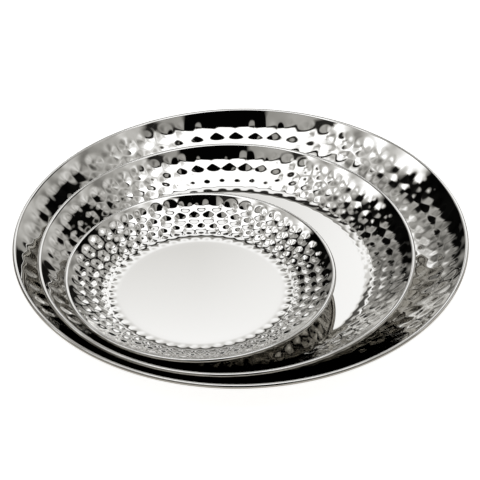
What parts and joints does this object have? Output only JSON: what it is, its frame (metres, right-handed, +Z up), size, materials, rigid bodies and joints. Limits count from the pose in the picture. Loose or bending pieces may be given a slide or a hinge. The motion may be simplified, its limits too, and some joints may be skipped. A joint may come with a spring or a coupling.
{
  "type": "buffet platter",
  "caption": "Nesting set of round buffet platters in mirror-polished steel, each a flat well inside a hammered sloping wall with a rolled rim, for serving food.",
  "frame": {"origin": "centre of the large platter's flat underside, on the surface that it stands on", "axes": "+Z up out of the platters, -Y towards the picture's viewer, +X to the viewer's right"},
  "size_m": [0.3398, 0.3398, 0.0245],
  "materials": {
    "polished_steel": "mirror polished stainless steel, hammered wall"
  },
  "bodies": {
    "large": {"large_platter": "polished_steel"},
    "medium": {"medium_platter": "polished_steel"},
    "small": {"small_platter": "polished_steel"}
  },
  "joints": [
    {"name": "medium_lift", "type": "slide", "parent": "large", "child": "medium", "axis": [0, 0, 1], "range_m": [0, 0.08]},
    {"name": "small_lift", "type": "slide", "parent": "medium", "child": "small", "axis": [0, 0, 1], "range_m": [0, 0.06]}
  ]
}
